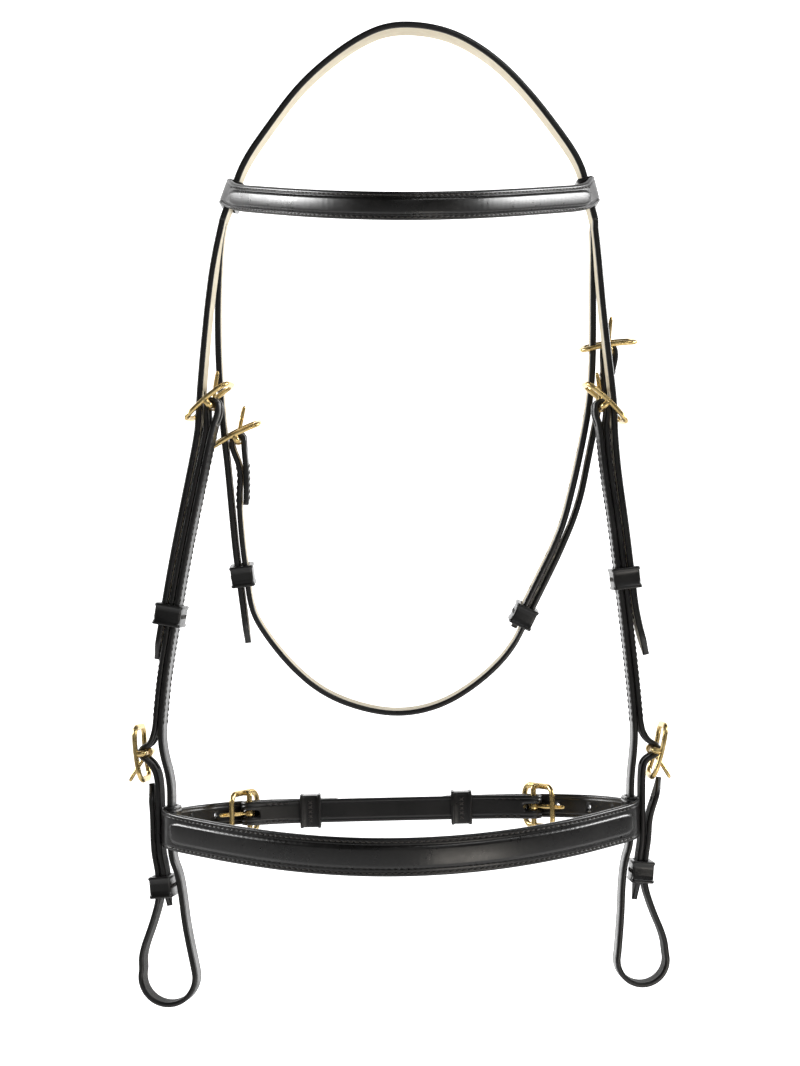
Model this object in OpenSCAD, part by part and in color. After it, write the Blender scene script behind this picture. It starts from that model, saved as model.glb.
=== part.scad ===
/* [Straps] */
// Width of the cheek, throat and jaw straps
strap_w = 12.5; // [11.5:0.1:13]
// Thickness of the headpiece leather
head_t = 3.2; // [2.8:0.1:3.3]
// Thickness of the cheekpiece leather
cheek_t = 2.7; // [2.4:0.1:2.7]
// Thickness of the throatlash leather
throat_t = 2.8; // [2.4:0.1:2.8]
// Thickness of the noseband and jaw strap leather
nose_t = 2.8; // [2.4:0.1:2.8]
// Slit between the cheek and throat billets of the headpiece
slit = 0.8; // [0.4:0.1:1.2]
// Radius of the punched billet holes
hole_r = 1.4; // [1:0.1:1.8]
// Distance between punched holes
hole_pitch = 19; // [15:1:22]

/* [Browband and noseband] */
// Height of the browband
brow_h = 13.5; // [12:0.5:15]
// Height of the browband's padded roll
brow_roll_h = 8.5; // [7:0.5:9]
// How far the browband bows forward
brow_bow = 100; // [80:1:110]
// How far the bowed browband droops, in degrees
brow_droop = 9; // [5:0.5:11]
// Height of the noseband
nose_h = 19; // [17:0.5:20]
// Height of the noseband's padded roll
nose_roll_h = 12.5; // [10:0.5:13]
// How far the noseband bows forward
nose_bow = 85; // [70:1:95]
// How far the bowed noseband droops, in degrees
nose_droop = 6; // [3:0.5:8]
// Thickness of both padded rolls
roll_t = 4.2; // [3:0.2:5]

/* [Buckles] */
// Outer length of a buckle ring
ring_l = 30; // [28:0.5:31]
// Outer width of a buckle ring
ring_w = 24.5; // [23:0.5:25]
// Width of the ring's rail
rail_w = 3.2; // [2.6:0.1:3.4]
// Thickness of the ring's rail
rail_t = 2.6; // [2:0.1:2.8]
// Radius of the buckle bar
bar_r = 1.5; // [1.3:0.1:1.5]
// How far the ring stands off its bar
bar_drop = 4; // [3.8:0.1:4.2]
// Length of a tongue from the bar's axis to its tip
tongue_l = 18; // [17:0.5:18.5]
// Radius of a tongue
tongue_r = 1.1; // [0.9:0.05:1.2]

/* [Keepers] */
// Length of a sliding runner along its strap
runner_l = 11; // [9:0.5:12]
// Leather thickness of runners and keepers
runner_t = 1.7; // [1.2:0.1:2]
// Inner radius of the loops that hold the bit rings
bit_loop_r = 11.3; // [11:0.1:11.6]

/* [Hidden] */

LEFT = 0;
RIGHT = 1;
SIDES = [LEFT, RIGHT];
LEATHER = "#1d1b19";
BRASS = "#c9a24a";

// Frames: cheek straps hang in the front half of the headpiece and throat straps in the rear half.
// Points are [distance out from the middle, height] for the cheeks, and [x, height] for the throat.
head_w = 2 * strap_w + slit;
lane_y = (strap_w + slit) / 2;
split_z = -92;
throat_tilt = 6;
toe = [8, 4];

// Radius of the bow in each buckle ring
bow_r = 95;

// Fits
bar_gap = 0.2;
layer_gap = 0.1;
slide_gap = 0.5;
fold_r = bar_r + bar_gap + cheek_t / 2;
fold_out = bar_r + bar_gap + cheek_t;
ply = (cheek_t + layer_gap) / 2 + 0.02;

// Buckle bars: [outward, height], ring angle, tongue angle above the ring
cheek_bar = [[98, -192.4], [100, -193.1]];
cheek_turn = [140, 136];
cheek_lift = [43, 40];
bit_bar = [[132, -369.6], [125.8, -367.6]];
bit_turn = [-97, -104];
bit_lift = [40, 48];
throat_bar = [[-86.6, -209.6], [105.6, -163.6]];
throat_turn = [27, 9];
throat_lift = [53, 78];
jaw_bar = [[-82.1, 45.7], [68.2, 47.5]];
jaw_turn = [243, -60];
jaw_lift = [33, 33];

// Bit loop centres, [outward, height]
loop_c = [[120.6, -484], [120.8, -475]];
loop_r = [bit_loop_r + 1.4, bit_loop_r];
loop_mid_r = [loop_r[0] + cheek_t / 2, loop_r[1] + cheek_t / 2];

// Headpiece arch, left to right
ARCH = [[-93.2, -98], [-88.3, -84.5], [-82.1, -67.5], [-69, -49], [-56, -31.5], [-42, -18], [-25, -5.5],
    [-9, head_t / 2], [9, head_t / 2], [27, -3], [46, -15], [62, -31], [77, -50], [89.4, -68],
    [93.2, -83], [97, -98]];
// Cheek billets of the headpiece
CHEEK_BILLET = [
    [[91.1, -92], [94.8, -104], [99.4, -135], [102.4, -165], [104.4, -190], [104.8, -204], [109.2, -226],
        [118.3, -270], [123.3, -299.5], [127.1, -322]],
    [[95.4, -92], [97.4, -104], [99.8, -135], [103.2, -165], [106.3, -190], [106.4, -204], [108.3, -226],
        [112.1, -252], [115.5, -280.5], [117.7, -299], [123.3, -319.5]]];
// Throat billets of the headpiece
THROAT_BILLET = [
    [[-91.1, -92], [-94.8, -104], [-96.6, -135], [-96.6, -165], [-95, -192], [-93.6, -209.6], [-92, -223],
        [-90.3, -243], [-88.3, -266], [-86, -284], [-83.7, -302], [-82, -316]],
    [[95.4, -92], [97, -104], [97, -135], [97.2, -163], [96.2, -186], [92.6, -208], [87.6, -232],
        [81.2, -257.6], [68.6, -283.6], [60.2, -300.9], [56.8, -307.8]]];
// Throatlash below the stitched ends, from left to right
THROATLASH = [[-84.9, -225], [-86.4, -240], [-84.8, -262], [-82.5, -280], [-80.2, -298], [-73, -311],
    [-60, -327.5], [-44, -341.5], [-24, -350], [-2, -353.5], [20, -348.5], [40, -335.5], [55.5, -319.7],
    [63.9, -302.4], [72.3, -285.1], [80.7, -267.8], [90.6, -243.5], [95.6, -217], [100.4, -193],
    [103.1, -178]];
// Turned-back ends of the throatlash
THROAT_TURN = [[[-82.6, -243], [-82.2, -227]], [[106.1, -178], [103.4, -194]]];
// Stacked layers of each cheekpiece, between its two buckles
STACK = [
    [[99, -203], [104, -226], [113.3, -270], [118.3, -299.5], [123.3, -329], [125.2, -348], [126, -358]],
    [[100.6, -203], [102.6, -224], [107, -252], [110.4, -280.5], [113.8, -309], [117, -338], [118.6, -357]]];
// Inner layer below the stack, down to the bit loop
INNER = [
    [[124.2, -368], [119.6, -384], [119.6, -398], [119.6, -422], [115.6, -431],
        [113.6, -443], [111.8, -458]],
    [[116.8, -368], [115.1, -382], [115.1, -396], [115.1, -415], [112, -424],
        [110.6, -437], [110.2, -452]]];
// Turned-back end below the bit buckle, down to its point
RETURN = [
    [[128.9, -375.8], [126, -382], [125.3, -400], [125.3, -419], [122.9, -429], [121.9, -440], [120.6, -448]],
    [[122.2, -373.2], [120.8, -378], [120.8, -400], [120.8, -414], [119.4, -422], [118.3, -436], [117.2, -444.5]]];
// Bit billet, from its point down to the bit loop
BIT_BILLET = [
    [[130.2, -385.5], [128.5, -400], [128.3, -419], [125.9, -430], [124.9, -442], [128.6, -456], [134.6, -472]],
    [[129.8, -382], [128.6, -390], [124.4, -402], [124, -413], [122.5, -422], [121.4, -435], [125.8, -449],
        [132, -463]]];

// Browband, seen from above, as [x, share of the bow]
brow_z = -84;
brow_slack = 1.1;
BROW = [[-92.8, 0], [-86, 0.1], [-72, 0.32], [-48, 0.64], [-24, 0.83], [0, 0.9], [24, 0.83], [48, 0.64],
    [74, 0.32], [91, 0.1], [98, 0]];
BROW_PAD = [[-87.5, 0.08], [-84, 0.131], [-72, 0.32], [-48, 0.64], [-24, 0.83], [0, 0.9], [24, 0.83],
    [48, 0.64], [74, 0.32], [89, 0.129], [92.5, 0.079]];
// Headpiece at each browband loop: [x, height], strap angle
brow_loop_at = [[-88.3, -84.5], [93.2, -83]];
brow_loop_turn = [70, 104.2];
// Noseband, seen from above, as [x, share of the bow]
nose_z = -403.6;
nose_roll = -1.3;
NOSE = [[-123.1, 0], [-119, 0.12], [-106, 0.28], [-84, 0.53], [-56, 0.78], [-28, 0.93], [0, 0.98],
    [28, 0.93], [56, 0.78], [84, 0.53], [104, 0.28], [115, 0.14], [118.2, 0.03]];
NOSE_PAD = [[-118, 0.125], [-115.8, 0.16], [-106, 0.28], [-84, 0.53], [-56, 0.78], [-28, 0.93], [0, 0.98],
    [28, 0.93], [56, 0.78], [84, 0.53], [104, 0.28], [112.2, 0.175], [114, 0.144]];
// Inner layer inside the noseband's end loops: [outward, height]
nose_loop_at = [[119.6, -406.3], [115.1, -401]];
wall_t = 2.1;
// Noseband billets and jaw strap, seen from above: [x, y]
NOSE_BILLET = [
    [[-121.2, 3.9], [-119, 14], [-111.5, 29], [-100, 41], [-89, 49.5], [-76, 55], [-63, 56], [-50, 55],
        [-38, 54.6], [-27, 54.6]],
    [[117.4, 1.8], [115.6, 12], [108.5, 27], [98, 39.5], [86, 47], [73, 52.9], [58, 56.2], [44, 55.6],
        [30, 55.2], [12, 55]]];
JAW = [[-66, 48.4], [-48, 50.4], [-24, 51], [0, 51], [24, 51], [40, 50.4], [54, 49]];
JAW_TURN = [[[-62, 52.2], [-67, 51.2]], [[54, 51.9], [47, 52.9]]];

// Runner centres on their straps: [outward, height], strap angle, inner span
cheek_runner_at = [[118.3, -299.5], [110.4, -280.5]];
cheek_runner_turn = [-80.4, -83.2];
throat_runner_at = [[-82.5, -280], [63.9, -302.4]];
throat_runner_turn = [97.2, 64.1];
bit_keeper_at = [[122, -437.8], [118.6, -429.8]];
bit_keeper_turn = [-95, -94];
jaw_keeper_at = [[-50, 50], [30, 50.9]];

curve_steps = 5;
corner_steps = 4;
$fn = 48;

function unit(v) = v / norm(v);
function bend(a, b, c, t) = (a + b) / 2 * (1 - t) * (1 - t) + b * 2 * t * (1 - t) + (b + c) / 2 * t * t;
// Smooth curve that starts and ends on the first and last points and follows those between
function smooth(p) = concat([p[0]],
    [for (i = [1 : len(p) - 2], k = [(i == 1 ? 0 : 1) : curve_steps])
        bend(p[i - 1], p[i], p[i + 1], k / curve_steps)],
    [p[len(p) - 1]]);
function heading(q, i) = unit(q[min(i + 1, len(q) - 1)] - q[max(i - 1, 0)]);
function beside(q, i, d) = q[i] + d * [-heading(q, i).y, heading(q, i).x];
// Outline of a strap between two distances from its route
function band(q, a, b) = concat([for (i = [0 : len(q) - 1]) beside(q, i, a)],
    [for (i = [len(q) - 1 : -1 : 0]) beside(q, i, b)]);
function arc(c, r, from, to, steps) =
    [for (i = [0 : steps]) c + r * [cos(from + (to - from) * i / steps), sin(from + (to - from) * i / steps)]];
function on(c, r, a) = c + r * [cos(a), sin(a)];
function shift(p, d) = [for (v = p) v + d];
function flip(p) = [for (i = [len(p) - 1 : -1 : 0]) p[i]];
// Point and angle at a distance along a route
function walk(q, s, i = 0) = (i >= len(q) - 2 || s <= norm(q[i + 1] - q[i]))
    ? [q[i] + unit(q[i + 1] - q[i]) * s, atan2(q[i + 1].y - q[i].y, q[i + 1].x - q[i].x)]
    : walk(q, s - norm(q[i + 1] - q[i]), i + 1);
function rounded(x, y, r) = [for (c = [[1, 1, 0], [-1, 1, 90], [-1, -1, 180], [1, -1, 270]],
    k = [0 : corner_steps]) [c.x * (x / 2 - r), c.y * (y / 2 - r)]
        + r * [cos(c.z + 90 * k / corner_steps), sin(c.z + 90 * k / corner_steps)]];

// Stands a drawing up so that its second axis is height, and gives it a depth
module upright(depth) {
    rotate([90, 0, 0])
        translate([0, 0, -depth / 2])
            linear_extrude(depth) children();
}

// Places a child at a point of the drawing, turned by an angle
module at(p, turn) {
    translate([p.x, 0, p.y])
        rotate([0, -turn, 0]) children();
}

module strap(q, t, w) {
    upright(w) polygon(band(q, -t / 2, t / 2));
}

// Row of punched holes that starts some way along a route
module holes(q, t, from, count) {
    for (k = [0 : count - 1]) {
        spot = walk(q, from + k * hole_pitch);
        at(spot[0], spot[1]) cylinder(h = t + 0.4, r = hole_r, center = true);
    }
}

// Cuts the two corners off the end of a strap, to leave a point
module point_cut(p, turn, t) {
    for (s = [-1, 1])
        at(p, turn)
            translate([0, s * 1.2, 0])
                rotate([0, 0, s * -32])
                    translate([-strap_w, (s - 1) * strap_w / 2, -t / 2 - 0.2])
                        cube([strap_w + 1, strap_w, t + 0.4]);
}

module billet(p, t, hole_from, hole_count) {
    q = smooth(p);
    tip = p[len(p) - 1];
    before = p[len(p) - 2];
    difference() {
        strap(q, t, strap_w);
        holes(q, t, hole_from, hole_count);
        point_cut(tip, atan2(tip.y - before.y, tip.x - before.x), t);
    }
}

// The frame that each cheek's straps and buckles are drawn in
module cheek_frame(side) {
    mirror([side == LEFT ? 1 : 0, 0, 0])
        translate([cheek_bar[side].x, -lane_y, 0])
            rotate([0, 0, toe[side]])
                translate([-cheek_bar[side].x, 0, 0]) children();
}

// The throat straps hang in a plane that leans back from the split
module throat_frame() {
    translate([0, lane_y, split_z])
        rotate([throat_tilt, 0, 0])
            translate([0, 0, -split_z]) children();
}

// The jaw strap and noseband are drawn from above
module nose_frame() {
    translate([0, 0, nose_z])
        rotate([0, nose_roll, 0])
            rotate([-90, 0, 0]) children();
}

module headpiece() {
    color(LEATHER) {
        strap(smooth(ARCH), head_t, head_w);
        for (side = SIDES) {
            cheek_frame(side) billet(CHEEK_BILLET[side], head_t, 95, 7);
            throat_frame() billet(THROAT_BILLET[side], head_t, 105, 6);
        }
    }
}

// Slot that lets a tongue turn on its bar through a folded strap
module tongue_slot(p, below, above) {
    side = fold_out + 1.2;
    translate([p.x - side, -1.95, p.y - below])
        cube([side + above, 3.9, below + above]);
}

function cheek_route(side) = let (
    k = cheek_bar[side], b = bit_bar[side], c = loop_c[side],
    r = loop_mid_r[side], start = on(c, r, 14), end = on(c, r, 166))
    concat(
        smooth(concat(BIT_BILLET[side], [start])),
        arc(c, r, 4, -184, 20),
        smooth(concat([end], flip(INNER[side]), flip(shift(STACK[side], [-ply, 0])),
            [k + [-fold_r, -4], k + [-fold_r, 0]])),
        arc(k, fold_r, 165, 15, 10),
        smooth(concat([k + [fold_r, 0], k + [fold_r, -4]], shift(STACK[side], [ply, 0]),
            [b + [-2.2, fold_r + 1.6], on(b, fold_r, 60)])),
        arc(b, fold_r, 48, -62, 8),
        smooth(concat([on(b, fold_r, -74)], RETURN[side])));

module cheekpiece(side) {
    last = len(RETURN[side]) - 1;
    bill = BIT_BILLET[side];
    tail = RETURN[side];
    color(LEATHER)
        cheek_frame(side)
            difference() {
                strap(cheek_route(side), cheek_t, strap_w);
                tongue_slot(cheek_bar[side], 10, fold_out + 1.2);
                tongue_slot(bit_bar[side], 9.5, 8);
                at(loop_c[side], 0) rotate([90, 0, 0])
                    cylinder(h = 2 * strap_w, r = loop_r[side], center = true);
                holes(smooth(bill), cheek_t, 12, 2);
                point_cut(bill[0], atan2(bill[0].y - bill[1].y, bill[0].x - bill[1].x), cheek_t);
                point_cut(tail[last], atan2(tail[last].y - tail[last - 1].y, tail[last].x - tail[last - 1].x),
                    cheek_t);
            }
}

module throatlash() {
    left = throat_bar[LEFT];
    right = throat_bar[RIGHT];
    r = bar_r + bar_gap + throat_t / 2;
    route = concat(
        smooth(concat(THROAT_TURN[LEFT], [left + [r, -4], left + [r, 0]])),
        arc(left, r, 15, 165, 10),
        smooth(concat([left + [-r, 0], left + [-r, -4]], THROATLASH, [right + [-r, -4], right + [-r, 0]])),
        arc(right, r, 165, 15, 10),
        smooth(concat([right + [r, 0], right + [r, -4]], THROAT_TURN[RIGHT])));
    color(LEATHER)
        throat_frame()
            difference() {
                strap(route, throat_t, strap_w);
                tongue_slot(left, fold_out + 1.2, fold_out + 1.2);
                tongue_slot(right, fold_out + 1.2, fold_out + 1.2);
            }
}

module jaw_strap() {
    left = jaw_bar[LEFT];
    right = jaw_bar[RIGHT];
    r = bar_r + bar_gap + nose_t / 2;
    route = concat(
        smooth(concat(JAW_TURN[LEFT], [on(left, r, 106) + [4, 1.1], on(left, r, 106)])),
        arc(left, r, 121, 271, 10),
        smooth(concat([on(left, r, 286), on(left, r, 286) + [4, 1.1]], JAW,
            [on(right, r, 258) + [-4, 0.9], on(right, r, 258)])),
        arc(right, r, 273, 423, 10),
        smooth(concat([on(right, r, 78), on(right, r, 78) + [-4, 0.9]], JAW_TURN[RIGHT])));
    color(LEATHER)
        nose_frame()
            difference() {
                strap(route, nose_t, strap_w);
                tongue_slot(left, fold_out + 1.2, fold_out + 1.2);
                tongue_slot(right, fold_out + 1.2, fold_out + 1.2);
            }
}

// Square tube round a strap: a and b are the inner faces along its normal
module tube(a, b, w, l, wall) {
    rotate([90, 0, 90])
        translate([0, (a + b) / 2, -l / 2])
            linear_extrude(l)
                difference() {
                    polygon(rounded(w + 2 * wall, b - a + 2 * wall, 1.4));
                    polygon(rounded(w, b - a, 0.4));
                }
}

// Leather keeper with a raised rim at both ends
module keeper(a, b) {
    w = strap_w + 2 * slide_gap;
    color(LEATHER) {
        tube(a, b, w, runner_l, runner_t);
        for (s = [-1, 1])
            translate([s * (runner_l / 2 - 0.9), 0, 0]) tube(a, b, w, 1.8, runner_t + 0.45);
    }
}

// Lays a strip seen from above, standing to a height
module bowed(shape, y0, bow, a, b, h) {
    q = smooth([for (p = shape) [p.x, y0 - bow * p.y]]);
    translate([0, 0, -h / 2])
        linear_extrude(h) polygon(band(q, a, b));
}

module brow_frame() {
    translate([0, 0, brow_z])
        rotate([brow_droop, 0, 0]) children();
}

module browband_strap() {
    color(LEATHER) {
        brow_frame() bowed(BROW, -16, brow_bow * 1.17, -1.4, 1.4, brow_h);
        for (side = SIDES)
            at(brow_loop_at[side], brow_loop_turn[side])
                tube(-head_t / 2 - brow_slack, head_t / 2 + brow_slack, head_w + 1.6, brow_h, wall_t);
    }
}

// Padded roll, thinner towards its top and bottom edges
module roll(shape, y0, bow, face, h) {
    for (k = [[1, 0.55], [0.82, 0.82], [0.55, 1]])
        bowed(shape, y0, bow, face - roll_t * k.y, face, h * k.x);
}

module browband_roll() {
    color(LEATHER) brow_frame() roll(BROW_PAD, -16, brow_bow * 1.17, -1.45, brow_roll_h);
}

module nose_droop_frame() {
    translate([0, 0, nose_z])
        rotate([0, nose_roll, 0])
            rotate([nose_droop, 0, 0]) children();
}

module noseband_strap() {
    half = cheek_t / 2 + 0.45;
    color(LEATHER) {
        nose_droop_frame() bowed(NOSE, -10.8, nose_bow, -1.4, 1.4, nose_h);
        for (side = SIDES) {
            cheek_frame(side)
                at(nose_loop_at[side], -90) tube(-half, half, strap_w + 0.9, nose_h, wall_t);
            nose_frame() billet(NOSE_BILLET[side], nose_t, 24, 5);
        }
    }
}

module noseband_roll() {
    color(LEATHER) nose_droop_frame() roll(NOSE_PAD, -10.8, nose_bow, -1.45, nose_roll_h);
}

// Buckle frame bowed over its bar. It stands off to the left of its long axis, or to the right when flipped
module buckle(k, turn, flipped) {
    rail_y = (ring_w - rail_w) / 2;
    color(BRASS)
        at(k, turn)
            mirror([0, 0, flipped ? 1 : 0]) {
                intersection() {
                    linear_extrude(14)
                        difference() {
                            polygon(rounded(ring_l, ring_w, 6));
                            polygon(rounded(ring_l - 2 * rail_w, ring_w - 2 * rail_w, 3.4));
                        }
                    translate([0, ring_w, bar_drop - bow_r])
                        rotate([90, 0, 0])
                            difference() {
                                cylinder(h = 2 * ring_w, r = bow_r + rail_t / 2);
                                translate([0, 0, -1]) cylinder(h = 2 * ring_w + 2, r = bow_r - rail_t / 2);
                            }
                }
                rotate([90, 0, 0]) cylinder(h = ring_w - 1.2, r = bar_r, center = true);
                for (s = [-1, 1])
                    translate([-1.3, s * rail_y - 1.3, 0]) cube([2.6, 2.6, bar_drop]);
            }
}

module tongue(k, turn) {
    color(BRASS)
        at(k, turn)
            difference() {
                union() {
                    rotate([90, 0, 0]) cylinder(h = 3, r = bar_r + 1.1, center = true);
                    rotate([0, 90, 0]) cylinder(h = tongue_l - 3, r = tongue_r);
                    translate([tongue_l - 3, 0, 0]) rotate([0, 90, 0]) cylinder(h = 3, r1 = tongue_r, r2 = 0.6);
                }
                rotate([90, 0, 0]) cylinder(h = 5, r = bar_r + 0.1, center = true);
            }
}

module cheek_buckle(side) {
    cheek_frame(side) buckle(cheek_bar[side], cheek_turn[side], true);
}

module cheek_tongue(side) {
    cheek_frame(side) tongue(cheek_bar[side], cheek_turn[side] - cheek_lift[side]);
}

module throat_buckle(side) {
    throat_frame() buckle(throat_bar[side], throat_turn[side], false);
}

module throat_tongue(side) {
    throat_frame() tongue(throat_bar[side], throat_turn[side] + throat_lift[side]);
}

module bit_buckle(side) {
    cheek_frame(side) buckle(bit_bar[side], bit_turn[side], false);
}

module bit_tongue(side) {
    cheek_frame(side) tongue(bit_bar[side], bit_turn[side] + bit_lift[side]);
}

module jaw_buckle(side) {
    nose_frame() buckle(jaw_bar[side], jaw_turn[side], side == LEFT);
}

module jaw_tongue(side) {
    s = side == LEFT ? -1 : 1;
    nose_frame() tongue(jaw_bar[side], jaw_turn[side] + s * jaw_lift[side]);
}

module cheek_runner(side) {
    cheek_frame(side)
        at(cheek_runner_at[side], cheek_runner_turn[side])
            keeper(-cheek_t - slide_gap, cheek_t + head_t + 0.8 + slide_gap);
}

module throat_runner(side) {
    throat_frame()
        at(throat_runner_at[side], throat_runner_turn[side])
            keeper(-throat_t / 2 - slide_gap, throat_t / 2 + head_t + 1.2 + slide_gap);
}

module bit_keeper(side) {
    cheek_frame(side)
        at(bit_keeper_at[side], bit_keeper_turn[side])
            keeper(-cheek_t / 2 - 0.4, cheek_t * 1.5 + 1.8);
}

module jaw_keeper(side) {
    nose_frame()
        at(jaw_keeper_at[side], 0)
            keeper(-nose_t / 2 - 0.6, nose_t * 1.5 + 2.9);
}

headpiece();
browband_strap();
browband_roll();
cheekpiece(LEFT);  // cheekpiece_left
cheekpiece(RIGHT);  // cheekpiece_right
throatlash();
noseband_strap();
noseband_roll();
jaw_strap();
cheek_buckle(LEFT);  // cheek_buckle_left
cheek_buckle(RIGHT);  // cheek_buckle_right
throat_buckle(LEFT);  // throat_buckle_left
throat_buckle(RIGHT);  // throat_buckle_right
bit_buckle(LEFT);  // bit_buckle_left
bit_buckle(RIGHT);  // bit_buckle_right
jaw_buckle(LEFT);  // jaw_buckle_left
jaw_buckle(RIGHT);  // jaw_buckle_right
cheek_tongue(LEFT);  // cheek_tongue_left
cheek_tongue(RIGHT);  // cheek_tongue_right
throat_tongue(LEFT);  // throat_tongue_left
throat_tongue(RIGHT);  // throat_tongue_right
bit_tongue(LEFT);  // bit_tongue_left
bit_tongue(RIGHT);  // bit_tongue_right
jaw_tongue(LEFT);  // jaw_tongue_left
jaw_tongue(RIGHT);  // jaw_tongue_right
cheek_runner(LEFT);  // cheek_runner_left
cheek_runner(RIGHT);  // cheek_runner_right
throat_runner(LEFT);  // throat_runner_left
throat_runner(RIGHT);  // throat_runner_right
bit_keeper(LEFT);  // bit_keeper_left
bit_keeper(RIGHT);  // bit_keeper_right
jaw_keeper(LEFT);  // jaw_keeper_left
jaw_keeper(RIGHT);  // jaw_keeper_right
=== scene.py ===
"""Snaffle bridle: leather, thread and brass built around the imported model."""
import math
import random

import bpy
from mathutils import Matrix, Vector


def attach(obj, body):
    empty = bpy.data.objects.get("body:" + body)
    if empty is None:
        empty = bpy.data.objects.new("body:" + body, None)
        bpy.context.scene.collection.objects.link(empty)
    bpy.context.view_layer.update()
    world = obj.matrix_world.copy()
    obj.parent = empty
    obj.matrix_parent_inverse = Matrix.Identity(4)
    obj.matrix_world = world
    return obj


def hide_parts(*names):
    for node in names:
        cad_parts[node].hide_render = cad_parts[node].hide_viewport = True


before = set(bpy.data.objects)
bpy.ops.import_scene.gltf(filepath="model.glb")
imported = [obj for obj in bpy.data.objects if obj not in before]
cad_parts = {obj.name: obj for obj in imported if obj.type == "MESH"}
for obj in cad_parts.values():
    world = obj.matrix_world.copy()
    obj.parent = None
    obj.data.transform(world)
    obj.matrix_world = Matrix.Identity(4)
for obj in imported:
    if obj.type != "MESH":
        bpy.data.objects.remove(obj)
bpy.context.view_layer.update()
random.seed(11)

MM = 0.001
LEFT, RIGHT = 0, 1
SIDES = ("left", "right")
SIGN = (-1, 1)
COVER, LINING, SEWN = 0, 1, 2  # material numbers in every leather piece

# Sizes and routes repeated from the CAD source, in millimetres
STRAP_W, HEAD_T, CHEEK_T, THROAT_T, NOSE_T = 12.5, 3.2, 2.7, 2.8, 2.8
SLIT, WALL_T, HOLE_R, HOLE_PITCH = 0.8, 2.1, 1.4, 19.0
HEAD_W = 2 * STRAP_W + SLIT
LANE_Y = (STRAP_W + SLIT) / 2
SPLIT_Z = -92.0
THROAT_TILT = math.radians(6)
TOE = (math.radians(8), math.radians(4))
RING_L, RING_W, RAIL_W, RAIL_T = 30.0, 24.5, 3.2, 2.6
BAR_R, BAR_GAP, BAR_DROP, BOW_R = 1.5, 0.2, 4.0, 95.0
RUNNER_L, RUNNER_T, SLIDE_GAP = 11.0, 1.7, 0.5
LAYER_GAP = 0.1
STITCH_PITCH, STITCH_Y = 3.1, 4.5
SLOT_R, SLOT_DEPTH, SLOT_STRETCH = 1.95, 11.2, 3.6
FOLD_STEPS, TWIST_RUN = 16, 30
BROW_Y, NOSE_Y, BROW_T, ROLL_SEAT = -16, -10.8, 2.8, 1.42
PIN_END, PIN_BEND = 10.65, 1.6
FOLD_R = BAR_R + BAR_GAP + CHEEK_T / 2
PLY = (CHEEK_T + LAYER_GAP) / 2 + 0.02

CHEEK_BAR = ((98, -192.4), (100, -193.1))
CHEEK_TURN, CHEEK_LIFT = (140, 136), (43, 40)
BIT_BAR = ((132, -369.6), (125.8, -367.6))
BIT_TURN, BIT_LIFT = (-97, -104), (40, 48)
THROAT_BAR = ((-86.6, -209.6), (105.6, -163.6))
THROAT_TURN_A, THROAT_LIFT = (27, 9), (53, 78)
JAW_BAR = ((-82.1, 45.7), (68.2, 47.5))
JAW_TURN_A, JAW_LIFT = (243, -60), (33, 33)
LOOP_C = ((120.6, -484), (120.8, -475))
LOOP_MID = (12.7 + CHEEK_T / 2, 11.3 + CHEEK_T / 2)

ARCH = ((-93.2, -98), (-88.3, -84.5), (-82.1, -67.5), (-69, -49), (-56, -31.5), (-42, -18), (-25, -5.5),
        (-9, 1.6), (9, 1.6), (27, -3), (46, -15), (62, -31), (77, -50), (89.4, -68), (93.2, -83), (97, -98))
CHEEK_BILLET = (
    ((91.1, -92), (94.8, -104), (99.4, -135), (102.4, -165), (104.4, -190), (104.8, -204), (109.2, -226),
     (118.3, -270), (123.3, -299.5), (127.1, -322)),
    ((95.4, -92), (97.4, -104), (99.8, -135), (103.2, -165), (106.3, -190), (106.4, -204), (108.3, -226),
     (112.1, -252), (115.5, -280.5), (117.7, -299), (123.3, -319.5)))
THROAT_BILLET = (
    ((-91.1, -92), (-94.8, -104), (-96.6, -135), (-96.6, -165), (-95, -192), (-93.6, -209.6), (-92, -223),
     (-90.3, -243), (-88.3, -266), (-86, -284), (-83.7, -302), (-82, -316)),
    ((95.4, -92), (97, -104), (97, -135), (97.2, -163), (96.2, -186), (92.6, -208), (87.6, -232),
     (81.2, -257.6), (68.6, -283.6), (60.2, -300.9), (56.8, -307.8)))
THROATLASH = ((-84.9, -225), (-86.4, -240), (-84.8, -262), (-82.5, -280), (-80.2, -298), (-73, -311),
              (-60, -327.5), (-44, -341.5), (-24, -350), (-2, -353.5), (20, -348.5), (40, -335.5),
              (55.5, -319.7), (63.9, -302.4), (72.3, -285.1), (80.7, -267.8), (90.6, -243.5), (95.6, -217),
              (100.4, -193), (103.1, -178))
THROAT_TURN = (((-82.6, -243), (-82.2, -227)), ((106.1, -178), (103.4, -194)))
STACK = (((99, -203), (104, -226), (113.3, -270), (118.3, -299.5), (123.3, -329), (125.2, -348), (126, -358)),
         ((100.6, -203), (102.6, -224), (107, -252), (110.4, -280.5), (113.8, -309), (117, -338),
          (118.6, -357)))
INNER = (((124.2, -368), (119.6, -384), (119.6, -398), (119.6, -422), (115.6, -431), (113.6, -443),
          (111.8, -458)),
         ((116.8, -368), (115.1, -382), (115.1, -396), (115.1, -415), (112, -424), (110.6, -437),
          (110.2, -452)))
RETURN = (((128.9, -375.8), (126, -382), (125.3, -400), (125.3, -419), (122.9, -429), (121.9, -440),
           (120.6, -448)),
          ((122.2, -373.2), (120.8, -378), (120.8, -400), (120.8, -414), (119.4, -422), (118.3, -436),
           (117.2, -444.5)))
BIT_BILLET = (((130.2, -385.5), (128.5, -400), (128.3, -419), (125.9, -430), (124.9, -442), (128.6, -456),
               (134.6, -472)),
              ((129.8, -382), (128.6, -390), (124.4, -402), (124, -413), (122.5, -422), (121.4, -435),
               (125.8, -449), (132, -463)))
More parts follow.
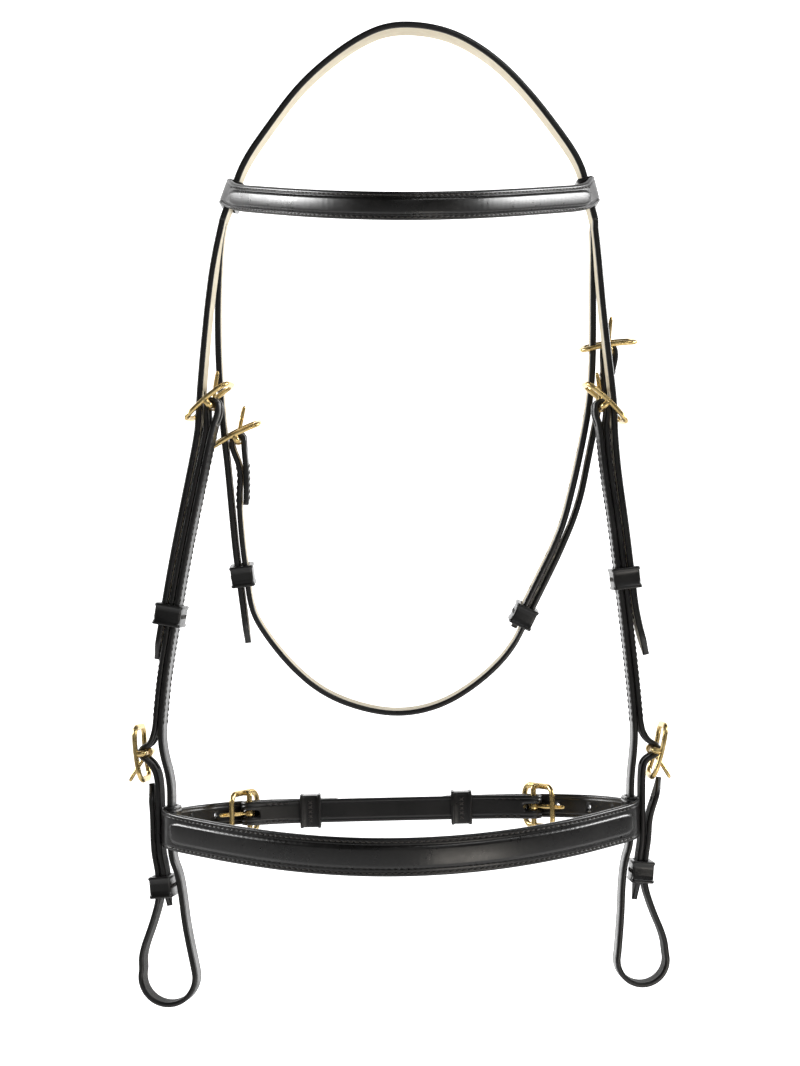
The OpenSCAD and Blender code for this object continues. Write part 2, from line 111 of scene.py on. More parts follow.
BROW_Z, BROW_DROOP, BROW_BOW, BROW_H, BROW_SLACK = -84.0, math.radians(9), 117.0, 13.5, 1.1
BROW = ((-92.8, 0), (-86, 0.1), (-72, 0.32), (-48, 0.64), (-24, 0.83), (0, 0.9), (24, 0.83), (48, 0.64),
        (74, 0.32), (91, 0.1), (98, 0))
BROW_PAD = ((-87.5, 0.08), (-84, 0.131), (-72, 0.32), (-48, 0.64), (-24, 0.83), (0, 0.9), (24, 0.83), (48, 0.64),
            (74, 0.32), (89, 0.129), (92.5, 0.079))
BROW_LOOP, BROW_LOOP_TURN = ((-88.3, -84.5), (93.2, -83)), (70, 104.2)
NOSE_Z, NOSE_ROLL, NOSE_DROOP, NOSE_BOW, NOSE_H = -403.6, math.radians(-1.3), math.radians(6), 85.0, 19.0
NOSE = ((-123.1, 0), (-119, 0.12), (-106, 0.28), (-84, 0.53), (-56, 0.78), (-28, 0.93), (0, 0.98),
        (28, 0.93), (56, 0.78), (84, 0.53), (104, 0.28), (115, 0.14), (118.2, 0.03))
NOSE_PAD = ((-118, 0.125), (-115.8, 0.16), (-106, 0.28), (-84, 0.53), (-56, 0.78), (-28, 0.93), (0, 0.98),
            (28, 0.93), (56, 0.78), (84, 0.53), (104, 0.28), (112.2, 0.175), (114, 0.144))
NOSE_LOOP = ((119.6, -406.3), (115.1, -401))
NOSE_BILLET = (
    ((-121.2, 3.9), (-119, 14), (-111.5, 29), (-100, 41), (-89, 49.5), (-76, 55), (-63, 56), (-50, 55),
     (-38, 54.6), (-27, 54.6)),
    ((117.4, 1.8), (115.6, 12), (108.5, 27), (98, 39.5), (86, 47), (73, 52.9), (58, 56.2), (44, 55.6),
     (30, 55.2), (12, 55)))
JAW = ((-66, 48.4), (-48, 50.4), (-24, 51), (0, 51), (24, 51), (40, 50.4), (54, 49))
JAW_TURN = (((-62, 52.2), (-67, 51.2)), ((54, 51.9), (47, 52.9)))
CHEEK_RUNNER, CHEEK_RUNNER_TURN = ((118.3, -299.5), (110.4, -280.5)), (-80.4, -83.2)
THROAT_RUNNER, THROAT_RUNNER_TURN = ((-82.5, -280), (63.9, -302.4)), (97.2, 64.1)
BIT_KEEPER, BIT_KEEPER_TURN = ((122, -437.8), (118.6, -429.8)), (-95, -94)
JAW_KEEPER = ((-50, 50), (30, 50.9))


# ---------------------------------------------------------------- drawing frames
def plain_place(x, depth, z):
    return Vector((x, depth, z)) * MM


def cheek_place(side, turn=1.0):
    """Drawing (out, depth, height) of one cheek to the world; turn below 1 untwists it."""
    pivot = CHEEK_BAR[side][0]

    def place(x, depth, z, turn=turn):
        a = TOE[side] * turn
        dx = x - pivot
        out = pivot + dx * math.cos(a) - depth * math.sin(a)
        return Vector((SIGN[side] * out, -LANE_Y + dx * math.sin(a) + depth * math.cos(a), z)) * MM
    return place


def throat_place(x, depth, z):
    """Drawing of the throatlash, which hangs tilted behind the cheeks."""
    d = z - SPLIT_Z
    return Vector((x, LANE_Y + depth * math.cos(THROAT_TILT) - d * math.sin(THROAT_TILT),
                   SPLIT_Z + depth * math.sin(THROAT_TILT) + d * math.cos(THROAT_TILT))) * MM


def nose_place(x, depth, y):
    """Plan drawing of the noseband and jaw strap; depth counts downwards."""
    z = -depth
    return Vector((x * math.cos(NOSE_ROLL) + z * math.sin(NOSE_ROLL), y,
                   NOSE_Z - x * math.sin(NOSE_ROLL) + z * math.cos(NOSE_ROLL))) * MM


def nose_front_place(x, depth, y):
    """Front of the noseband, which droops forwards."""
    c, s = math.cos(NOSE_DROOP), math.sin(NOSE_DROOP)
    return nose_place(x, depth * c - y * s, y * c + depth * s)


def brow_front_place(x, depth, y):
    """Front of the browband, which droops forwards."""
    c, s = math.cos(BROW_DROOP), math.sin(BROW_DROOP)
    return Vector((x, y * c + depth * s, BROW_Z + y * s - depth * c)) * MM


# ---------------------------------------------------------------- plane curves
def add(p, q):
    return (p[0] + q[0], p[1] + q[1])


def on(c, r, degrees):
    a = math.radians(degrees)
    return (c[0] + r * math.cos(a), c[1] + r * math.sin(a))


def arc(c, r, start, end, steps):
    return [on(c, r, start + (end - start) * i / steps) for i in range(steps + 1)]


def smooth(points, steps=5):
    """Quadratic B-spline from the first point to the last."""
    out = [Vector(points[0])]
    for i in range(1, len(points) - 1):
        a, b, c = Vector(points[i - 1]), Vector(points[i]), Vector(points[i + 1])
        for k in range(0 if i == 1 else 1, steps + 1):
            t = k / steps
            out.append((a + b) / 2 * (1 - t) ** 2 + b * 2 * t * (1 - t) + (b + c) / 2 * t * t)
    out.append(Vector(points[-1]))
    return out


def resample(points, step):
    """Points at an even spacing along a polyline of any dimension, with both ends kept."""
    points = [Vector(p) for p in points]
    runs = [(b - a).length for a, b in zip(points, points[1:])]
    total = sum(runs)
    count = max(2, int(round(total / step)))
    out, i, done = [], 0, 0.0
    for k in range(count + 1):
        want = total * k / count
        while i < len(runs) - 1 and done + runs[i] < want:
            done += runs[i]
            i += 1
        t = 0 if runs[i] == 0 else min(1, (want - done) / runs[i])
        out.append(points[i].lerp(points[i + 1], t))
    return out


def bowed(points, y0, bow):
    """Plan of a bowed band: points are (x, share of the bow)."""
    return [(x, y0 - bow * k) for x, k in points]


def ease(t):
    """Smooth step from 0 to 1."""
    t = min(1, max(0, t))
    return t * t * (3 - 2 * t)


def distances(points):
    out = [0.0]
    for a, b in zip(points, points[1:]):
        out.append(out[-1] + (b - a).length)
    return out


# ---------------------------------------------------------------- mesh building
class Mesh:
    """Collects parts of one piece: corners, faces, and a material number for each face."""

    def __init__(self):
        self.verts, self.faces, self.mats = [], [], []

    def add(self, verts, faces, mats):
        base = len(self.verts)
        self.verts += [tuple(v) for v in verts]
        self.faces += [[base + i for i in f] for f in faces]
        self.mats += mats if isinstance(mats, list) else [mats] * len(faces)

    def to_object(self, name, materials):
        me = bpy.data.meshes.new(name)
        me.from_pydata(self.verts, [], self.faces)
        for m in materials:
            me.materials.append(m)
        for poly, m in zip(me.polygons, self.mats):
            poly.material_index = m
            poly.use_smooth = True
        me.validate()
        ob = bpy.data.objects.new(name, me)
        bpy.context.scene.collection.objects.link(ob)
        return ob


def skin(rows, count):
    """Side faces of an open tube of rows rings with count points each, and its two end faces."""
    sides = [[i * count + k, i * count + (k + 1) % count, (i + 1) * count + (k + 1) % count, (i + 1) * count + k]
             for i in range(rows - 1) for k in range(count)]
    return sides, [list(range(count))[::-1], [(rows - 1) * count + k for k in range(count)]]


def hoop(rows, count):
    """Faces of a tube that closes on itself."""
    return [[i * count + k, (i + 1) % rows * count + k, (i + 1) % rows * count + (k + 1) % count,
             i * count + (k + 1) % count] for i in range(rows) for k in range(count)]


def strap_section(hw, ht, grain):
    """Closed outline (across, through, material) with rounded edges and a creased line by each edge.
    grain is 1, -1 or 0: the side with the crease, or both."""
    r = min(1.05, ht * 0.85, hw * 0.45)
    groove, half = 0.28, 0.42
    crease_at = hw - min(1.9, hw * 0.3)

    def face(sign):
        is_grain = grain * sign >= 0
        half_face = [(hw - r, ht), (hw - r - 0.25 * min(1, hw), ht)]
        if is_grain and hw > 4:
            half_face += [(crease_at + dx, ht - dn) for dx, dn in (
                (half, 0), (half * 0.4, groove * 0.75), (0, groove), (-half * 0.4, groove * 0.75), (-half, 0),
                (-1.2, 0))]
        else:
            half_face += [((hw - r - 0.3) * f, ht) for f in (1.0, 0.8, 0.6, 0.4, 0.2, 0.1)]
        pts = [(x, sign * n, COVER if is_grain else LINING) for x, n in half_face]
        pts += [(-x, n, m) for x, n, m in reversed(pts)]
        return pts[::-1] if sign > 0 else [(-x, n, m) for x, n, m in pts[::-1]]

    def edge(sign):
        out = []
        for k in range(1, 6):
            a = math.pi / 2 - math.pi * k / 6
            rise = math.copysign(ht - r, a) if a else 0
            out.append((sign * (hw - r + r * math.cos(a)), sign * (rise + r * math.sin(a)), COVER))
        return out
    return face(1) + edge(1) + face(-1) + edge(-1)


def sweep(mesh, centres, wides, sections, caps=(True, True)):
    """Lofts a closed section along stations. Each section is a list of (across, through, material)."""
    n, count = len(centres), len(sections[0])
    verts = []
    for i, p in enumerate(centres):
        t = (centres[min(i + 1, n - 1)] - centres[max(i - 1, 0)]).normalized()
        w = (wides[i] - t * wides[i].dot(t)).normalized()
        through = t.cross(w)
        verts += [p + (w * a + through * b) * MM for a, b, _ in sections[i]]
    faces, ends = skin(n, count)
    ends = [end for end, closed in zip(ends, caps) if closed]
    mats = [sec[k][2] if sec[k][2] == sec[(k + 1) % count][2] else COVER
            for sec in sections[:-1] for k in range(count)]
    mesh.add(verts, faces + ends, mats + [COVER] * len(ends))


def pointed(hw, s, total, at_start, at_end, tip=0.9, slope=0.66):
    """Half width of a strap with a rounded point at either end."""
    out = hw
    for flag, u in ((at_start, s), (at_end, total - s)):
        if flag and u < 11:
            want = tip + slope * u
            out = min(out, hw - math.log1p(math.exp((hw - want) * 2.2)) / 2.2) if want < hw + 3 else out
            out = max(out, 0.5 * tip)
    return out


def strap(mesh, route, place, width, thick, grain, ends=(False, False), caps=(True, True), step=1.5,
          twist=None):
    """Sweeps a strap along a plane route. place maps (x, depth, z) to the world."""
    pts = resample(route, step)
    ss = distances(pts)
    near_end = (0.35, 0.8, 1.4, 2.2, 3.0)
    stations = sorted({round(s, 4) for s in ss} | {e for e in near_end if ends[0]}
                      | {round(ss[-1] - e, 4) for e in near_end if ends[1]})
    centres, wides, sections = [], [], []
    for s in stations:
        i = next((k for k in range(len(ss) - 1) if ss[k + 1] >= s - 1e-9), len(ss) - 2)
        f = 0 if ss[i + 1] == ss[i] else (s - ss[i]) / (ss[i + 1] - ss[i])
        p = pts[i].lerp(pts[i + 1], max(0, min(1, f)))
        put = place if twist is None else (lambda x, d, z, k=twist(s): place(x, d, z, k))
        c = put(p[0], 0, p[1])
        centres.append(c)
        wides.append((put(p[0], 1, p[1]) - c).normalized())
        hw = pointed(width / 2, s, ss[-1], *ends)
        sections.append(strap_section(hw, thick / 2, grain))
    sweep(mesh, centres, wides, sections, caps)


def capsule(mesh, p, along, up, length, radius, lift):
    """One stitch: a short rounded thread bent a little over its middle."""
    along = along.normalized()
    up = (up - along * up.dot(along)).normalized()
    side = along.cross(up)
    rings, seg = 6, 6
    verts = []
    for i in range(rings + 1):
        u = -1 + 2 * i / rings
        r = radius * math.sqrt(max(0.04, 1 - abs(u) ** 3))
        c = p + along * (u * length / 2) + up * (lift - 0.45 * radius * u * u * 1.8)
        for k in range(seg):
            a = 2 * math.pi * k / seg
            verts.append(c + (side * math.cos(a) + up * math.sin(a)) * r)
    faces, ends = skin(rings + 1, seg)
    mesh.add(verts, faces + ends, SEWN)


def stitch_line(mesh, points, ups, length=2.6, radius=0.32):
    """A row of stitches along a polyline in the world, with the surface direction at each point."""
    ss = distances(points)
    count = int(ss[-1] / (STITCH_PITCH * MM))
    i = 0
    for k in range(count):
        s = (k + 0.5) * ss[-1] / count
        while i < len(ss) - 2 and ss[i + 1] < s:
            i += 1
        f = (s - ss[i]) / max(1e-9, ss[i + 1] - ss[i])
        p = points[i].lerp(points[i + 1], f)
        up = ups[i].lerp(ups[i + 1], f).normalized()
        along = (points[i + 1] - points[i]).normalized()
        wob = up.cross(along) * random.uniform(-0.05, 0.05)
        capsule(mesh, p, along + wob, up, length * MM, radius * MM, 0.1 * MM)


def strap_stitches(mesh, route, place, thick, side, start=0.0, stop=None):
    """Two rows of stitches on one face of a strap: side is +1 or -1 of the route."""
    pts = resample(route, 1.5)
    ss = distances(pts)
    stop = ss[-1] if stop is None else stop
    for w in (-STITCH_Y, STITCH_Y):
        line, ups = [], []
        for i, p in enumerate(pts):
            if not start <= ss[i] <= stop:
                continue
            h = (pts[min(i + 1, len(pts) - 1)] - pts[max(i - 1, 0)]).normalized()
            nrm = Vector((-h[1], h[0])) * side
            q = p + nrm * (thick / 2)
            a = place(q[0], w, q[1])
            line.append(a)
            ups.append((place(q[0] + nrm[0], w, q[1] + nrm[1]) - a).normalized())
        if len(line) > 1:
            stitch_line(mesh, line, ups)


def cut_holes(mesh, cutters):
    """Cuts round holes and slots out of the mesh built so far.
    Each cutter is (centre, axis, radius, length, across, stretch)."""
    stand_ins = [bpy.data.materials.new(n) for n in ("cut_cover", "cut_lining")]
    ob = mesh.to_object("cut_target", stand_ins)
    tool = Mesh()
    seg = 20
    for centre, axis, r, length, across, stretch in cutters:
        axis = axis.normalized()
        across = (across - axis * across.dot(axis)).normalized()
        other = axis.cross(across)
        ring = []
        for k in range(seg):
            a = 2 * math.pi * k / seg
            reach = math.cos(a) * r + math.copysign(stretch, math.cos(a))
            ring.append(across * reach + other * (math.sin(a) * r))
        verts = [centre + (v - axis * (length / 2)) for v in ring]
        verts += [centre + (v + axis * (length / 2)) for v in ring]
        faces, ends = skin(2, seg)
        tool.add(verts, faces + ends, COVER)
    cutter = tool.to_object("cut_tool", [])
    mod = ob.modifiers.new("holes", "BOOLEAN")
    mod.operation, mod.object, mod.solver = "DIFFERENCE", cutter, "EXACT"
    me = ob.evaluated_get(bpy.context.evaluated_depsgraph_get()).to_mesh()
    mesh.verts = [tuple(v.co) for v in me.vertices]
    mesh.faces = [list(p.vertices) for p in me.polygons]
    mesh.mats = [p.material_index for p in me.polygons]
    bpy.data.objects.remove(ob)
    bpy.data.objects.remove(cutter)
    for m in stand_ins:
        bpy.data.materials.remove(m)


def slot_cutter(place, x, z, deep, stretch, swapped=False):
    """Slot for a tongue through a fold at (x, z); swapped where the fold faces along z."""
    c = place(x, 0, z)
    right, up = place(x + 1, 0, z) - c, place(x, 0, z + 1) - c
    axis, across = (up, right) if swapped else (right, up)
    return c, axis, SLOT_R * MM, deep * MM, across, stretch * MM


def hole_cutters(route, place, start, count, thick):
    pts = resample(route, 0.5)
    ss = distances(pts)
    out = []
    for k in range(count):
        s = start + k * HOLE_PITCH
        i = min(range(len(ss)), key=lambda j: abs(ss[j] - s))
        h = (pts[min(i + 1, len(pts) - 1)] - pts[max(i - 1, 0)]).normalized()
        p = pts[i]
        c = place(p[0], 0, p[1])
        nrm = place(p[0] - h[1], 0, p[1] + h[0]) - c
        out.append((c, nrm, HOLE_R * MM, (thick + 0.5) * MM, place(p[0], 1, p[1]) - c, 0.0))
    return out


# ---------------------------------------------------------------- materials
class Look:
    """A material with short ways to wire its nodes."""

    def __init__(self, name, **values):
        self.material = bpy.data.materials.new(name)
        self.material.use_nodes = True
        tree = self.material.node_tree
        self.nodes, self.links, self.bsdf = tree.nodes, tree.links, tree.nodes["Principled BSDF"]
        self.where = self.nodes.new("ShaderNodeTexCoord").outputs["Object"]
        for k, v in values.items():
            self.bsdf.inputs[k.replace("_", " ")].default_value = v

    def texture(self, kind, where=None, **values):
        n = self.nodes.new("ShaderNodeTex" + kind)
        for k, v in values.items():
            n.inputs[k].default_value = v
        self.links.new(where or self.where, n.inputs["Vector"])
        return n.outputs["Distance" if kind == "Voronoi" else "Fac"]

    def mapped(self, source, lo, hi):
        """The middle of a noise, 0.3 to 0.7, spread over lo to hi."""
        n = self.nodes.new("ShaderNodeMapRange")
        for k, v in (("From Min", 0.3), ("From Max", 0.7), ("To Min", lo), ("To Max", hi)):
            n.inputs[k].default_value = v
        self.links.new(source, n.inputs["Value"])
        return n.outputs["Result"]

    def math(self, operation, *inputs):
        n = self.nodes.new("ShaderNodeMath")
        n.operation = operation
        for v, socket in zip(inputs, n.inputs):
            if isinstance(v, float):
                socket.default_value = v
            else:
                self.links.new(v, socket)
        return n.outputs["Value"]

    def colour(self, source, dark, light, lo=0.0, hi=1.0, into=("Base Color",)):
        ramp = self.nodes.new("ShaderNodeValToRGB")
        for element, position, rgb in zip(ramp.color_ramp.elements, (lo, hi), (dark, light)):
            element.position, element.color = position, (*rgb, 1)
        self.links.new(source, ramp.inputs["Fac"])
        for k in into:
            self.links.new(ramp.outputs["Color"], self.bsdf.inputs[k])

    def bump(self, source, strength, distance):
        n = self.nodes.new("ShaderNodeBump")
        n.inputs["Strength"].default_value, n.inputs["Distance"].default_value = strength, distance
        self.links.new(source, n.inputs["Height"])
        self.links.new(n.outputs["Normal"], self.bsdf.inputs["Normal"])


def leather(name, dark, light, rough, bump, coat, coat_rough=0.2):
    """Waxed bridle leather: fine grain, faint colour change and rubbed patches."""
    look = Look(name, Coat_Weight=coat, Coat_Roughness=coat_rough, Specular_IOR_Level=0.5)
    grain = look.texture("Voronoi", Scale=1500.0, Randomness=1.0)
    fine = look.texture("Noise", Scale=3900.0, Detail=3.0, Roughness=0.6)
    cloud = look.texture("Noise", Scale=55.0, Detail=4.0, Roughness=0.55)
    fleck = look.texture("Noise", Scale=420.0, Detail=3.0, Roughness=0.6)
    look.colour(cloud, dark, light, 0.35, 0.75)
    shine = look.math("ADD", look.mapped(cloud, rough - 0.05, rough + 0.07), look.mapped(fleck, -0.04, 0.05))
    look.links.new(shine, look.bsdf.inputs["Roughness"])
    look.bump(look.math("MULTIPLY_ADD", fine, 0.35, grain), bump, 0.0003)
    return look.material


def suede(name, dark, light):
    """Flesh side: dull, short-napped and slightly streaked."""
    look = Look(name, Roughness=0.78, Sheen_Weight=0.25, Specular_IOR_Level=0.3)
    look.colour(look.texture("Noise", Scale=160.0, Detail=5.0, Roughness=0.65), dark, light, 0.3, 0.72)
    look.bump(look.texture("Noise", Scale=1400.0, Detail=4.0, Roughness=0.7), 0.5, 0.0004)
    return look.material


def thread_material():
    """Waxed dark thread with a fine twist."""
    look = Look("thread", Roughness=0.5)
    twist = look.texture("Noise", Scale=2600.0, Detail=2.0)
    look.colour(twist, (0.016, 0.014, 0.012), (0.07, 0.062, 0.055))
    look.bump(twist, 0.5, 0.0002)
    return look.material


def brass_material():
    """Polished brass with handling haze and fine scratches."""
    look = Look("brass", Metallic=1.0)
    squeeze = look.nodes.new("ShaderNodeMapping")
    squeeze.inputs["Scale"].default_value = (0.25, 1.0, 0.6)
    look.links.new(look.where, squeeze.inputs["Vector"])
    haze = look.texture("Noise", Scale=190.0, Detail=5.0, Roughness=0.6)
    scratch = look.texture("Noise", squeeze.outputs["Vector"], Scale=900.0, Detail=3.0, Roughness=0.7)
    look.colour(haze, (0.66, 0.46, 0.17), (0.86, 0.66, 0.31), 0.3, 0.7)
    look.links.new(look.mapped(haze, 0.22, 0.34), look.bsdf.inputs["Roughness"])
    look.bump(scratch, 0.12, 0.0002)
    return look.material


GRAIN = leather("bridle_leather", (0.0030, 0.0027, 0.0026), (0.0068, 0.0060, 0.0055), 0.34, 0.1, 0.2)
PADDED = leather("padded_leather", (0.0028, 0.0024, 0.0022), (0.0062, 0.0054, 0.0047), 0.31, 0.05, 0.25, 0.28)
NATURAL = suede("natural_flesh_side", (0.80, 0.69, 0.49), (0.93, 0.85, 0.66))
FLESH = suede("dyed_flesh_side", (0.010, 0.009, 0.008), (0.026, 0.024, 0.021))
THREAD = thread_material()
BRASS = brass_material()
LEATHERS = [GRAIN, FLESH, THREAD]
UNLINED = [GRAIN, NATURAL, THREAD]


def finish_piece(mesh, name, node_name, body, materials=LEATHERS):
    ob = mesh.to_object(name, materials)
    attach(ob, body)
    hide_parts(node_name)
    return ob


# ---------------------------------------------------------------- headpiece
def throat_lean(x, depth, z):
    """Drawing of a throat billet, which leans back below the arch."""
    return plain_place(x, LANE_Y + depth, z).lerp(throat_place(x, depth, z), ease((ARCH[0][1] - z) / TWIST_RUN))


def build_headpiece():
    m = Mesh()
    strap(m, smooth(ARCH, 12), plain_place, HEAD_W, HEAD_T, 1)
    cutters = []
    for side, end in ((LEFT, ARCH[0]), (RIGHT, ARCH[-1])):
        sign, place, free_end = SIGN[side], cheek_place(side), (False, True)
        billet, throat = smooth(CHEEK_BILLET[side], 10), smooth(THROAT_BILLET[side], 10)
        route = [(sign * end[0], end[1])] + [p for p in billet if p[1] < end[1] - 3]
        strap(m, route, place, STRAP_W, HEAD_T, sign, free_end, free_end, twist=lambda s: ease(s / TWIST_RUN))
        cutters += hole_cutters(billet, place, 95, 7, HEAD_T)
        route = [end] + [p for p in throat if p[1] < end[1] - 3]
        strap(m, route, throat_lean, STRAP_W, HEAD_T, sign, free_end, free_end)
        cutters += hole_cutters(throat, throat_place, 105, 6, HEAD_T)
    cut_holes(m, cutters)
    finish_piece(m, "headpiece_leather", "headpiece", "harness", UNLINED)


# ---------------------------------------------------------------- cheekpieces
def cheek_parts(side):
    """Runs of one cheekpiece from its bit billet to the return that is sewn below the bit buckle."""
    k, b, c, r = CHEEK_BAR[side], BIT_BAR[side], LOOP_C[side], LOOP_MID[side]
    stack = STACK[side]
    return {
        "billet": smooth(list(BIT_BILLET[side]) + [on(c, r, 14)], 8),
        "loop": arc(c, r, 4, -184, 40),
        "inner": smooth([on(c, r, 166)] + list(INNER[side])[::-1] + [add(p, (-PLY, 0)) for p in stack[::-1]]
                        + [add(k, (-FOLD_R, -4)), add(k, (-FOLD_R, 0))], 8),
        "top_fold": arc(k, FOLD_R, 165, 15, FOLD_STEPS),
        "outer": smooth([add(k, (FOLD_R, 0)), add(k, (FOLD_R, -4))] + [add(p, (PLY, 0)) for p in stack]
                        + [add(b, (-2.2, FOLD_R + 1.6)), on(b, FOLD_R, 60)], 8),
        "low_fold": arc(b, FOLD_R, 48, -62, 14),
        "return": smooth([on(b, FOLD_R, -74)] + list(RETURN[side]), 8)}


def build_cheekpiece(side):
    m = Mesh()
    place = cheek_place(side)
    parts = cheek_parts(side)
    route = [v for line in parts.values() for v in line]
    strap(m, route, place, STRAP_W, CHEEK_T, SIGN[side], (True, True), step=1.3)
    cutters = hole_cutters(smooth(BIT_BILLET[side], 8), place, 12, 2, CHEEK_T)
    for bar, dx, dz, deep, stretch in ((CHEEK_BAR[side], 0, -2.2, SLOT_DEPTH, 5.8),
                                       (BIT_BAR[side], 1.2, -0.7, 13.6, 6.8)):
        cutters.append(slot_cutter(place, bar[0] + dx, bar[1] + dz, deep, stretch))
    cut_holes(m, cutters)
    for name, low in (("inner", -356), ("outer", -352)):
        strap_stitches(m, [v for v in parts[name] if low < v[1] < -207], place, CHEEK_T, 1)
    n = SIDES[side]
    finish_piece(m, f"cheekpiece_{n}_leather", f"cheekpiece_{n}", "harness")


# ---------------------------------------------------------------- throatlash and jaw strap
def build_throatlash():
    m = Mesh()
    left, right = THROAT_BAR
    r = BAR_R + BAR_GAP + THROAT_T / 2
    turn_left = smooth(list(THROAT_TURN[LEFT]) + [add(left, (r, -4)), add(left, (r, 0))], 8)
    turn_right = smooth([add(right, (r, 0)), add(right, (r, -4))] + list(THROAT_TURN[RIGHT]), 8)
    main = smooth([add(left, (-r, 0)), add(left, (-r, -4))] + list(THROATLASH)
                  + [add(right, (-r, -4)), add(right, (-r, 0))], 8)
    route = turn_left + arc(left, r, 15, 165, FOLD_STEPS) + main + arc(right, r, 165, 15, FOLD_STEPS) + turn_right
    strap(m, route, throat_place, STRAP_W, THROAT_T, -1)
    # Beyond the right bar the turned end shows its grain on both faces
    bar_x = throat_place(right[0], 0, right[1])[0]
    m.mats = [COVER if k == LINING and m.verts[f[0]][0] > bar_x else k for f, k in zip(m.faces, m.mats)]
    cut_holes(m, [slot_cutter(throat_place, *bar, SLOT_DEPTH, SLOT_STRETCH) for bar in THROAT_BAR])
    strap_stitches(m, turn_left, throat_place, THROAT_T, -1, 1.5, 22)
    strap_stitches(m, turn_right, throat_place, THROAT_T, 1, 8, 27)
    near_left = [p for p in main[:60] if p[0] < -80 and -246 < p[1] < -222]
    near_right = [p for p in main[-60:] if p[0] > 95 and -198 < p[1] < -174]
    strap_stitches(m, near_left, throat_place, THROAT_T, -1)
    strap_stitches(m, near_right, throat_place, THROAT_T, 1)
    finish_piece(m, "throatlash_leather", "throatlash", "harness", UNLINED)


def build_jaw_strap():
    m = Mesh()
    left, right = JAW_BAR
    r = BAR_R + BAR_GAP + NOSE_T / 2
    a, b = on(left, r, 106), on(left, r, 286)
    c, d = on(right, r, 258), on(right, r, 78)
    turn_left = smooth(list(JAW_TURN[LEFT]) + [add(a, (4, 1.1)), a], 8)
    main = smooth([b, add(b, (4, 1.1))] + list(JAW) + [add(c, (-4, 0.9)), c], 8)
    turn_right = smooth([d, add(d, (-4, 0.9))] + list(JAW_TURN[RIGHT]), 8)
    route = turn_left + arc(left, r, 121, 271, FOLD_STEPS) + main + arc(right, r, 273, 423, FOLD_STEPS) + turn_right
    strap(m, route, nose_place, STRAP_W, NOSE_T, 0)
    cut_holes(m, [slot_cutter(nose_place, *bar, SLOT_DEPTH, SLOT_STRETCH, swapped=True) for bar in JAW_BAR])
    for lo, hi in ((-75, -60), (46, 62)):
        strap_stitches(m, [p for p in main if lo < p[0] < hi], nose_place, NOSE_T, -1)
    finish_piece(m, "jaw_strap_leather", "jaw_strap", "noseband")


# ---------------------------------------------------------------- noseband and browband
def ribbon(mesh, stations, ends=(False, False), step=1.5):
    """Strap through control stations (point, across, half width, half thickness), all interpolated."""
    flat = [(*p, *w, hw / 1000, ht / 1000) for p, w, hw, ht in stations]
    curve = resample_many(smooth_many(flat, 8), step * MM)
    centres = [Vector(v[:3]) for v in curve]
    wides = [Vector(v[3:6]).normalized() for v in curve]
    ss = distances(centres)
    sections = []
    for v, s in zip(curve, ss):
        hw = pointed(v[6] * 1000, s / MM, ss[-1] / MM, *ends)
        sections.append(strap_section(hw, v[7] * 1000, 0))
    sweep(mesh, centres, wides, sections)


def smooth_many(points, steps):
    out = [points[0]]
    for i in range(1, len(points) - 1):
        a, b, c = points[i - 1], points[i], points[i + 1]
        for k in range(0 if i == 1 else 1, steps + 1):
            t = k / steps
            out.append([(x + y) / 2 * (1 - t) ** 2 + y * 2 * t * (1 - t) + (y + z) / 2 * t * t
                        for x, y, z in zip(a, b, c)])
    out.append(points[-1])
    return out


def resample_many(points, step):
    ss = [0.0]
    for a, b in zip(points, points[1:]):
        ss.append(ss[-1] + math.dist(a[:3], b[:3]))
    count = max(2, int(round(ss[-1] / step)))
    out, i = [], 0
    for k in range(count + 1):
        want = ss[-1] * k / count
        while i < len(ss) - 2 and ss[i + 1] < want:
            i += 1
        t = min(1, (want - ss[i]) / max(1e-12, ss[i + 1] - ss[i]))
        out.append([x + (y - x) * t for x, y in zip(points[i], points[i + 1])])
    return out


def unit_of(place, x, y):
    return (place(x, -1, y) - place(x, 0, y)).normalized()


def noseband_loop(side):
    """Points of the outer wall of an end loop, rear to front, and of the layer that closes it."""
    x0, z0 = NOSE_LOOP[side]
    place = cheek_place(side)
    wall = CHEEK_T / 2 + 0.45 + WALL_T / 2
    outer = [place(x0 + wall, d, z0) for d in (8.4, 4.5, 0, -4.5)]
    deep = STRAP_W / 2 + 0.45 + WALL_T / 2
    corners = ((wall + 0.1, deep), (0, deep), (-wall + 0.9, deep), (-wall, deep - 0.9), (-wall, 0),
               (-wall, 0.9 - deep), (0.9 - wall, -deep), (0, -deep), (wall + 0.1, -deep))
    inner = [place(x0 + dx, d, z0) for dx, d in corners]
    return outer, inner


